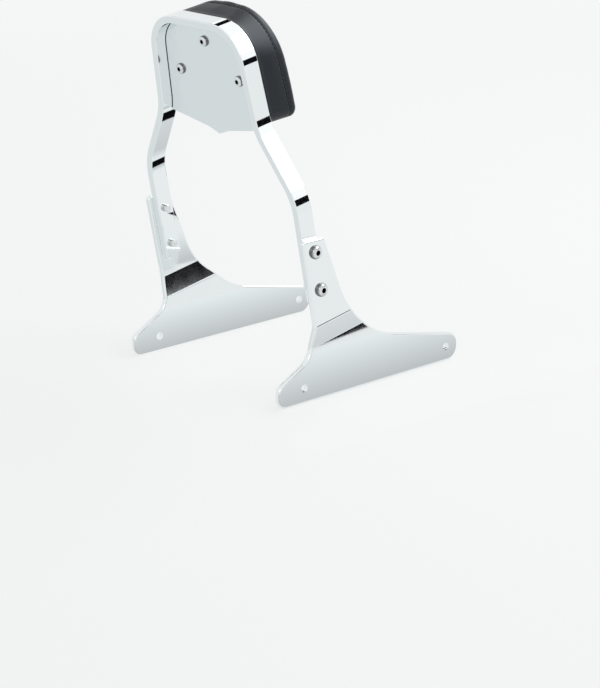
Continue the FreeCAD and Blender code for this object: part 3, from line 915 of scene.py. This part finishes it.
class BACKREST_OT_pad_stitching(bpy.types.Operator):
    """Sews the seam: short lengths of thread that lie in it and dip into the vinyl at both ends"""
    bl_idname = "backrest.pad_stitching"
    bl_label = "Pad Stitching"

    def execute(self, context):
        pad = context.scene.backrest_pad
        line, normals = seam_line(pad, bpy.data.objects["pad_cover"])
        columns = np.arange(len(line) + 1)
        along = np.linspace(-1, 1, STITCH_POINTS)
        middle = np.arange(pad.stitches)[:, None] + 0.5
        place = (middle + along * pad.stitch_share / 2) * COLUMNS_PER_STITCH
        centre, out = (
            np.stack([np.interp(place, columns, np.append(v[:, i], v[0, i])) for i in range(3)], -1)
            for v in (line, normals))
        side = unit(np.cross(out, unit(np.gradient(centre, axis=1))))
        # Each length bows up in its middle and thins where it goes through the vinyl
        centre = centre + (pad.thread_radius * (0.9 - 1.6 * along ** 2))[:, None] * out
        thickness = pad.thread_radius * np.sqrt(1 - 0.8 * along ** 6)
        mesh = round_bars("pad_stitches", centre, side, out, thickness, STITCH_SIDES)
        mesh.materials.append(thread_material(context.scene.backrest_finishes.thread))
        stitches = link("pad_stitches", mesh)
        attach(stitches, "root")
        return {"FINISHED"}


def seen_rays(tree):
    """One for rays from the eye and for what plating or glass shows of them, nought for plain light."""
    rays = add_node(tree, "ShaderNodeLightPath").outputs
    mirrored = add_node(
        tree, "ShaderNodeMath", {0: rays["Is Camera Ray"], 1: rays["Is Glossy Ray"]}, operation="MAXIMUM")
    shown = add_node(
        tree, "ShaderNodeMath", {0: mirrored.outputs["Value"], 1: rays["Is Transmission Ray"]},
        operation="MAXIMUM")
    return shown.outputs["Value"]


def set_floor(stage):
    """Wide disc under the backrest: radius and turn are its two parameters."""
    radius = np.linspace(FLOOR_RADIUS, 0, FLOOR_RINGS)[:, None]
    turn = np.linspace(2 * math.pi, 0, FLOOR_COLUMNS, endpoint=False)
    disc = np.broadcast_arrays(radius * np.cos(turn), radius * np.sin(turn), CAD_BOX[0].z)
    floor = link("studio_floor", grid_mesh("studio_floor", np.stack(disc, -1), open_back=True))
    material, tree, surface = new_material("studio_paper")
    surface.inputs["Base Color"].default_value = (*stage.floor, 1)
    surface.inputs["Roughness"].default_value = 0.9
    backdrop = add_node(tree, "ShaderNodeEmission", Color=(*stage.floor, 1), Strength=1.0)
    # Keeps a quarter of its shadows near the backrest and none where it meets the backdrop
    place = add_node(tree, "ShaderNodeTexCoord").outputs["Object"]
    out = add_node(tree, "ShaderNodeVectorMath", {0: place}, operation="LENGTH")
    share = add_node(
        tree, "ShaderNodeMapRange", {"Value": out.outputs["Value"]}, From_Min=0.6, From_Max=2.5,
        To_Min=0.75, To_Max=1.0)
    kept = add_node(
        tree, "ShaderNodeMath", {0: seen_rays(tree), 1: share.outputs["Result"]}, operation="MULTIPLY")
    mixed = add_node(
        tree, "ShaderNodeMixShader",
        {"Fac": kept.outputs["Value"], 1: surface.outputs["BSDF"], 2: backdrop.outputs["Emission"]})
    tree.links.new(mixed.outputs["Shader"], tree.nodes["Material Output"].inputs["Surface"])
    floor.data.materials.append(material)


def set_world(stage):
    """Pale surround for the eye and for reflections, and a softer one for plain light."""
    world = bpy.data.worlds.new("studio_surround")
    bpy.context.scene.world = world
    world.use_nodes = True
    tree = world.node_tree
    tree.nodes.clear()
    light = add_node(tree, "ShaderNodeBackground", Color=(1, 1, 1, 1), Strength=0.5)
    backdrop = add_node(tree, "ShaderNodeBackground", Color=(*stage.floor, 1), Strength=1.0)
    mixed = add_node(
        tree, "ShaderNodeMixShader", {"Fac": seen_rays(tree), 1: light.outputs[0], 2: backdrop.outputs[0]})
    add_node(tree, "ShaderNodeOutputWorld", {"Surface": mixed.outputs[0]})


def set_lamps():
    """Long soft lamp high in front of the backrest, and a weak one at its side."""
    for name, place, aim, width, height, power in (
        ("front_softbox", (0.44, 1.35, 1.75), (0, 0, 0.25), 3.0, 1.3, 34),
        ("side_softbox", (2.0, -1.8, 1.4), (0, 0, 0.2), 1.2, 1.2, 4),
    ):
        lamp = bpy.data.lights.new(name, "AREA")
        lamp.shape = "RECTANGLE"
        lamp.size = width
        lamp.size_y = height
        lamp.energy = power
        holder = link(name, lamp)
        holder.location = place
        holder.rotation_euler = (Vector(aim) - Vector(place)).to_track_quat("-Z", "Y").to_euler()


def card_material(name, tone):
    """Even tone, which the plating mirrors as it is."""
    material = bpy.data.materials.new(name)
    material.use_nodes = True
    tree = material.node_tree
    tree.nodes.clear()
    light = add_node(tree, "ShaderNodeEmission", Color=(*tone, 1), Strength=1.0)
    add_node(tree, "ShaderNodeOutputMaterial", {"Surface": light.outputs["Emission"]})
    return material


def ground_material(name, near, far):
    """Tone that rises across the ground from a plate's foot, so that the plate mirrors a soft gradient."""
    material = card_material(name, (1, 1.03, 1.03))
    tree = material.node_tree
    place = add_node(tree, "ShaderNodeTexCoord").outputs["Object"]
    across = add_node(tree, "ShaderNodeSeparateXYZ", {"Vector": place}).outputs["X"]
    tone = add_node(
        tree, "ShaderNodeMapRange", {"Value": across}, From_Min=near, From_Max=far, To_Min=0.58, To_Max=0.92)
    tree.links.new(tone.outputs["Result"], tree.nodes["Emission"].inputs["Strength"])
    return material


def add_card(name, rows, material):
    """Card through two or more pairs of points, which only the plating sees."""
    mesh = bpy.data.meshes.new(name)
    first = 2 * np.arange(len(rows) - 1)[:, None]
    mesh.from_pydata(np.reshape(rows, (-1, 3)).tolist(), [], (first + np.array([0, 1, 3, 2])).tolist())
    mesh.materials.append(material)
    card = link(name, mesh)
    card.visible_camera = False
    card.visible_diffuse = False
    card.visible_shadow = False


def stage_axes(stage):
    """Directions to the right, up and back to the eye in the camera's frame."""
    a, e, roll = stage.azimuth, stage.elevation, stage.roll
    back = Vector((math.sin(a) * math.cos(e), -math.cos(a) * math.cos(e), math.sin(e)))
    level = Vector((math.cos(a), math.sin(a), 0))
    rise = back.cross(level)
    right = math.cos(roll) * level + math.sin(roll) * rise
    up = math.cos(roll) * rise - math.sin(roll) * level
    return right, up, back


def set_cards(stage):
    """Cards that only the plating shows.

    Black ones draw a dark line on each bend, a grey one tones the faces to the rear, two on the ground shade
    the feet of the plates, and a white arch lights the slopes and shoulders of the bar.
    """
    black = card_material("black_card", (0.004, 0.004, 0.005))
    grey = card_material("grey_card", (0.775, 0.81, 0.81))
    white = card_material("white_card", (1.12, 1.12, 1.12))
    right_ground = ground_material("right_ground", near=0.121, far=0.235)
    left_ground = ground_material("left_ground", near=-0.117, far=0.0)
    for name, material, centre, right, up in (
        ("horizon_card", black, (2.0, 1.35, 0.50), (-0.42, 0.62, 0), (0, 0, 0.20)),
        ("top_card", black, (-1.15, 0.88, 1.62), (0.45, 0.55, 0), (0.10, -0.08, 0.19)),
        ("lower_bend_card", black, (-0.028, 0.1135, 0.10), (0.020, 0, 0), (0, 0.0215, 0)),
        ("upper_bend_card", black, (-0.050, 0.081, 0.16), (0.0228, 0, 0), (0, 0.021, 0)),
        ("crease_card", black, (0.2577, 0.150, -0.012), (0.0155, 0, 0), (0.012, 0.08, 0)),
        ("right_ground", right_ground, (0.178, 0.14, -0.015), (0.057, 0, 0), (0, 0.22, 0)),
        ("left_ground", left_ground, (-0.0585, 0.14, -0.015), (0.0585, 0, 0), (0, 0.22, 0)),
        ("rear_card", grey, (-0.55, -0.50, -0.015), (0.50, 0, 0), (0, 0.42, 0)),
    ):
        centre, right, up = (np.array(v, float) for v in (centre, right, up))
        lower, upper = centre - up, centre + up
        add_card(name, [(lower - right, lower + right), (upper - right, upper + right)], material)
    # The arch lies where the side of the bar, tilted more and more upwards, mirrors the eye's rays
    tilt = np.radians(np.linspace(*ARCH_TILT_DEGREES, ARCH_ROWS))[:, None]
    eye = np.array(stage_axes(stage)[2])
    face = np.cos(tilt) * (1, 0, 0) + np.sin(tilt) * lean_axes()[1]
    away = 2 * (face @ eye)[:, None] * face - eye
    across = ARCH_HALF_WIDTH * unit(np.cross(away, np.gradient(away, axis=0)))
    line = np.array(ARCH_CENTRE) + ARCH_RADIUS * away
    add_card("arch_card", np.stack([line - across, line + across], 1), white)


def set_camera(scene, stage):
    """Camera at the fitted angle, with the point that it was aimed by at a named place of the frame."""
    width, height = 600, 688
    aim_pixel = Vector((237.02, 293.54))
    aim = Vector((0, 13.78, 69.71)) * MM
    right, up, back = stage_axes(stage)
    per_pixel = stage.distance / stage.focal_pixels
    offset = right * (aim_pixel.x - width / 2) * per_pixel - up * (aim_pixel.y - height / 2) * per_pixel
    lens = bpy.data.cameras.new("camera")
    lens.sensor_width = 36
    lens.lens = stage.focal_pixels * lens.sensor_width / height
    camera = bpy.data.objects.new("camera", lens)
    scene.collection.objects.link(camera)
    turned = Matrix((right, up, back)).transposed().to_4x4()
    camera.matrix_world = Matrix.Translation(aim + back * stage.distance - offset) @ turned
    scene.camera = camera


class BACKREST_OT_stage(bpy.types.Operator):
    """Sets the floor, the backdrop, the lamps and the camera"""
    bl_idname = "backrest.stage"
    bl_label = "Studio"

    def execute(self, context):
        stage = context.scene.backrest_stage
        set_floor(stage)
        set_world(stage)
        set_lamps()
        set_cards(stage)
        set_camera(context.scene, stage)
        context.scene.view_settings.view_transform = "Standard"
        return {"FINISHED"}


class BACKREST_PT_sidebar(bpy.types.Panel):
    """Lists the steps that dress the backrest"""
    bl_label = "Backrest"
    bl_idname = "BACKREST_PT_sidebar"
    bl_space_type = "VIEW_3D"
    bl_region_type = "UI"
    bl_category = "Backrest"

    def draw(self, context):
        for operator in OPERATORS:
            self.layout.operator(operator.bl_idname)


OPERATORS = (
    BACKREST_OT_bright_metal,
    BACKREST_OT_panel_joint_shade,
    BACKREST_OT_fasteners,
    BACKREST_OT_pad_filling,
    BACKREST_OT_pad_cover,
    BACKREST_OT_pad_stitching,
    BACKREST_OT_stage,
)
GROUPS = {
    "backrest_finishes": BackrestFinishes,
    "backrest_fasteners": BackrestFasteners,
    "backrest_weld": BackrestJointShade,
    "backrest_pad": BackrestPad,
    "backrest_stage": BackrestStage,
}


def register():
    """Registers the groups of sizes, the operators and the panel."""
    for group in GROUPS.values():
        bpy.utils.register_class(group)
    for name, group in GROUPS.items():
        setattr(bpy.types.Scene, name, bpy.props.PointerProperty(type=group))
    for operator in OPERATORS:
        bpy.utils.register_class(operator)
    bpy.utils.register_class(BACKREST_PT_sidebar)


def unregister():
    """Takes them out again."""
    bpy.utils.unregister_class(BACKREST_PT_sidebar)
    for operator in reversed(OPERATORS):
        bpy.utils.unregister_class(operator)
    for name, group in GROUPS.items():
        delattr(bpy.types.Scene, name)
        bpy.utils.unregister_class(group)


def main():
    """Registers the add-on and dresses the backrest."""
    register()
    bpy.ops.backrest.bright_metal()
    bpy.ops.backrest.panel_weld()
    bpy.ops.backrest.fasteners()
    bpy.ops.backrest.pad_filling()
    bpy.ops.backrest.pad_cover()
    bpy.ops.backrest.pad_stitching()
    bpy.ops.backrest.stage()


if __name__ == "__main__":
    main()
